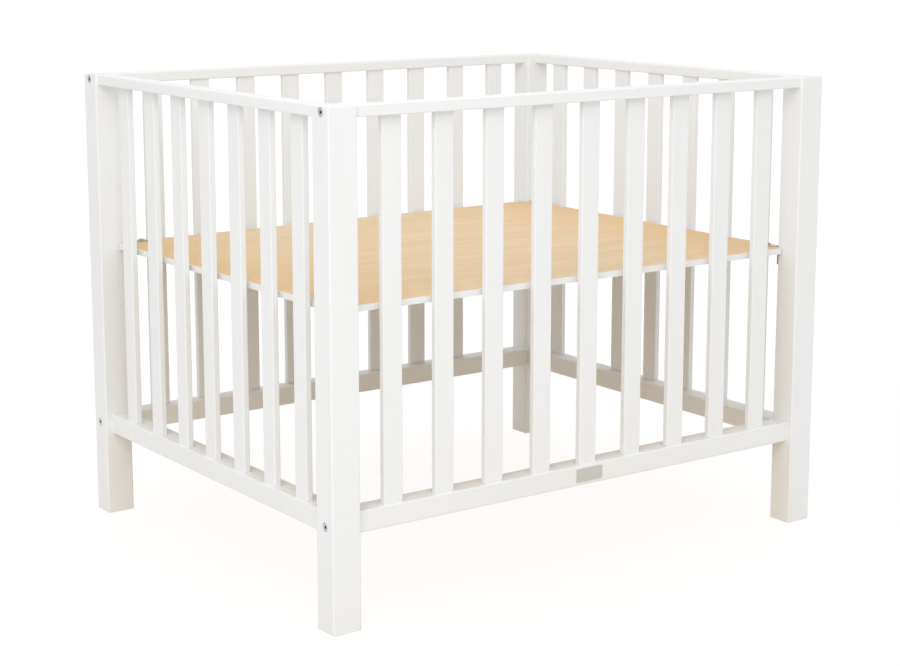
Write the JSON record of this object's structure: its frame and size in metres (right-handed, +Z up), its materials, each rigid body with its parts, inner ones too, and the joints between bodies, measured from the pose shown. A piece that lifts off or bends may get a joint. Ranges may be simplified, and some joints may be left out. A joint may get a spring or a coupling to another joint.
{
  "type": "playpen",
  "caption": "Rectangular wooden playpen with four square posts, flat vertical slats between thin top rails and deeper bottom rails, and a lift-out base board at half height.",
  "frame": {"origin": "on the floor under the middle of the frame", "axes": "+X along the long sides, -Y towards the front side with the blank plate, +Z up"},
  "size_m": [1.01, 0.81, 0.796],
  "materials": {
    "lacquered_posts": "white satin lacquer on solid beech, eased edges",
    "lacquered_rails": "white satin lacquer on solid beech, eased edges",
    "lacquered_slats": "white satin lacquer on solid beech, eased edges",
    "base_wood_print": "light natural wood face, satin, fine straight grain",
    "base_edge_white": "white satin edge band",
    "bracket_steel": "zinc-plated pressed steel",
    "strap_steel": "zinc-plated flat strip, rounded ends",
    "bolt_steel": "zinc-plated, hexagon socket",
    "screw_steel": "zinc-plated, small pan head",
    "dowel_wood": "bare beech",
    "plate_metal": "brushed, blank"
  },
  "bodies": {
    "frame": {"post_front_left": "lacquered_posts", "post_front_right": "lacquered_posts", "post_rear_left": "lacquered_posts", "post_rear_right": "lacquered_posts", "top_rail_front": "lacquered_rails", "top_rail_rear": "lacquered_rails", "top_rail_left": "lacquered_rails", "top_rail_right": "lacquered_rails", "bottom_rail_front": "lacquered_rails", "bottom_rail_rear": "lacquered_rails", "bottom_rail_left": "lacquered_rails", "bottom_rail_right": "lacquered_rails", "front_slat_1": "lacquered_slats", "front_slat_2": "lacquered_slats", "front_slat_3": "lacquered_slats", "front_slat_4": "lacquered_slats", "front_slat_5": "lacquered_slats", "front_slat_6": "lacquered_slats", "front_slat_7": "lacquered_slats", "front_slat_8": "lacquered_slats", "front_slat_9": "lacquered_slats", "rear_slat_1": "lacquered_slats", "rear_slat_2": "lacquered_slats", "rear_slat_3": "lacquered_slats", "rear_slat_4": "lacquered_slats", "rear_slat_5": "lacquered_slats", "rear_slat_6": "lacquered_slats", "rear_slat_7": "lacquered_slats", "rear_slat_8": "lacquered_slats", "rear_slat_9": "lacquered_slats", "left_slat_1": "lacquered_slats", "left_slat_2": "lacquered_slats", "left_slat_3": "lacquered_slats", "left_slat_4": "lacquered_slats", "left_slat_5": "lacquered_slats", "left_slat_6": "lacquered_slats", "left_slat_7": "lacquered_slats", "right_slat_1": "lacquered_slats", "right_slat_2": "lacquered_slats", "right_slat_3": "lacquered_slats", "right_slat_4": "lacquered_slats", "right_slat_5": "lacquered_slats", "right_slat_6": "lacquered_slats", "right_slat_7": "lacquered_slats", "bracket_front_left": "bracket_steel", "bracket_front_right": "bracket_steel", "bracket_rear_left": "bracket_steel", "bracket_rear_right": "bracket_steel", "bracket_screws": "screw_steel", "frame_bolts": "bolt_steel", "barrel_nuts": "bolt_steel", "rail_dowels": "dowel_wood", "name_plate": "plate_metal"},
    "base": {"base_panel": "base_wood_print", "base_edge_band": "base_edge_white", "clamp_straps": "strap_steel", "base_bolts": "bolt_steel", "strap_screws": "screw_steel"}
  },
  "joints": [
    {"name": "base_lift", "type": "slide", "parent": "frame", "child": "base", "axis": [0, 0, 1], "range_m": [0, 0.3]}
  ]
}
